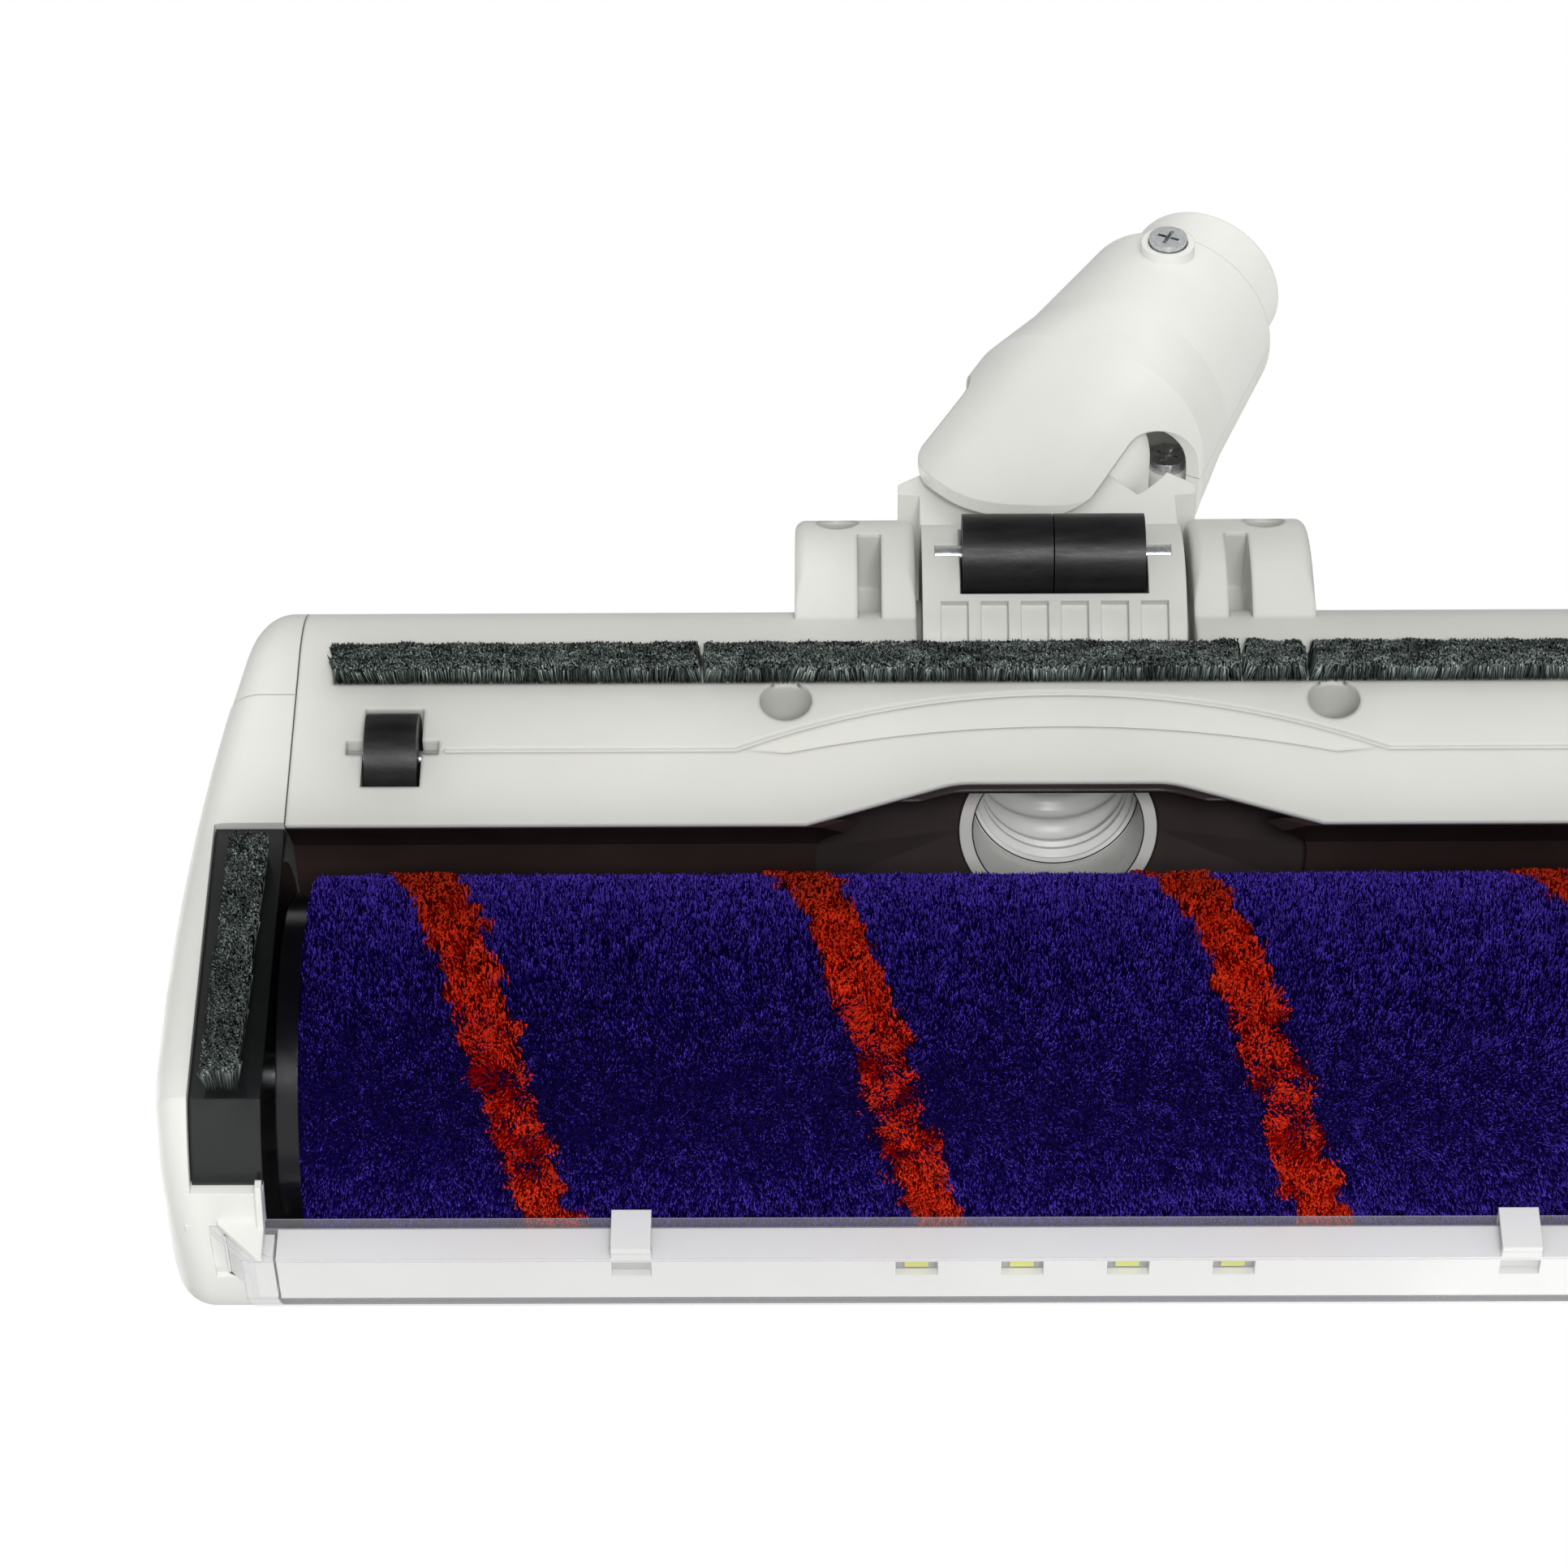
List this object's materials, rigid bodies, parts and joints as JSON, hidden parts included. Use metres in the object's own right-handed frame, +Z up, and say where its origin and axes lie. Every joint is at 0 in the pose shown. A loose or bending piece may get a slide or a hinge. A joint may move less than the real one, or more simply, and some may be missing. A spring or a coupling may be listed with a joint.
{
  "type": "vacuum floor brush head",
  "caption": "Motor-driven floor brush head with a napped roller, smoked hood, front light bar, felt sealing strips, rolling wheels and a tilting, swivelling hose neck.",
  "frame": {"origin": "on the floor, midway across the head and midway along its depth from the lens to the spigot's rim", "axes": "+X across the head to the user's left, -Y to the front of the head, +Z up from the floor"},
  "size_m": [0.2488, 0.2132, 0.0602],
  "materials": {
    "housing": "satin",
    "hood": "smoked",
    "liner": "glossy",
    "black_plastic": "glossy",
    "duct": "satin",
    "felt": "napped",
    "nap": "napped",
    "core": "satin",
    "white_plastic": "satin",
    "lens": "clear",
    "board": "coated",
    "led": "phosphor",
    "steel": "zinc plated",
    "rubber": "satin",
    "motor_can": "plated",
    "pulley": "moulded",
    "bronze": "sintered",
    "brass": "plated"
  },
  "bodies": {
    "head": {"base_plate": "housing", "top_shell": "housing", "roller_hood": "hood", "chamber_liner": "liner", "suction_funnel": "duct", "suction_ring": "duct", "suction_hose": "duct", "rear_felt_strip": "felt", "light_bar": "white_plastic", "light_lens": "lens", "led_board": "board", "leds": "led", "housing_screws": "steel", "wheel_axles": "steel", "motor": "motor_can", "motor_bracket": "core", "drive_belt": "rubber", "left_end_cap": "housing", "right_end_cap": "housing", "left_side_plate": "black_plastic", "right_side_plate": "black_plastic", "left_side_felt": "felt", "right_side_felt": "felt", "left_bearing": "bronze", "right_bearing": "bronze"},
    "roller": {"roller_core": "core", "roller_sleeve": "nap", "left_roller_ring": "black_plastic", "right_roller_ring": "black_plastic", "roller_stub_axles": "steel", "roller_pulley": "pulley"},
    "rotor": {"motor_shaft": "steel", "motor_pulley": "pulley"},
    "left_wheel_body": {"left_wheel": "rubber"},
    "right_wheel_body": {"right_wheel": "rubber"},
    "yoke": {"yoke_lower": "housing", "yoke_upper": "housing", "rear_wheel_axle": "steel"},
    "left_rear_roller_body": {"left_rear_roller": "rubber"},
    "right_rear_roller_body": {"right_rear_roller": "rubber"},
    "neck": {"neck_lower_shell": "housing", "neck_upper_shell": "housing", "spigot": "housing", "contact_block": "core", "contact_pins": "brass", "neck_screws": "steel"}
  },
  "joints": [
    {"name": "roller_spin", "type": "hinge", "parent": "head", "child": "roller", "pos_m": [0, -0.06956, 0.028], "axis": [1, 0, 0], "continuous": true},
    {"name": "rotor_spin", "type": "hinge", "parent": "head", "child": "rotor", "pos_m": [0, -0.02696, 0.0285], "axis": [1, 0, 0], "continuous": true},
    {"name": "left_wheel_roll", "type": "hinge", "parent": "head", "child": "left_wheel_body", "pos_m": [0.0951, -0.02966, 0.0065], "axis": [1, 0, 0], "continuous": true},
    {"name": "right_wheel_roll", "type": "hinge", "parent": "head", "child": "right_wheel_body", "pos_m": [-0.0951, -0.02966, 0.0065], "axis": [1, 0, 0], "continuous": true},
    {"name": "neck_tilt", "type": "hinge", "parent": "head", "child": "yoke", "pos_m": [0, 0.00544, 0.024], "axis": [1, 0, 0], "range_deg": [0, 62]},
    {"name": "left_rear_roll", "type": "hinge", "parent": "yoke", "child": "left_rear_roller_body", "pos_m": [0, 0.00898, 0.0061], "axis": [1, 0, 0], "continuous": true},
    {"name": "right_rear_roll", "type": "hinge", "parent": "yoke", "child": "right_rear_roller_body", "pos_m": [0, 0.00898, 0.0061], "axis": [1, 0, 0], "continuous": true},
    {"name": "neck_swivel", "type": "hinge", "parent": "yoke", "child": "neck", "pos_m": [0, 0.04199, 0.02979], "axis": [0, -0.1564, 0.9877], "range_deg": [-62, 10]}
  ],
  "couplings": [
    {"joint": "rotor_spin", "follows": "roller_spin", "ratio": 2.25}
  ]
}
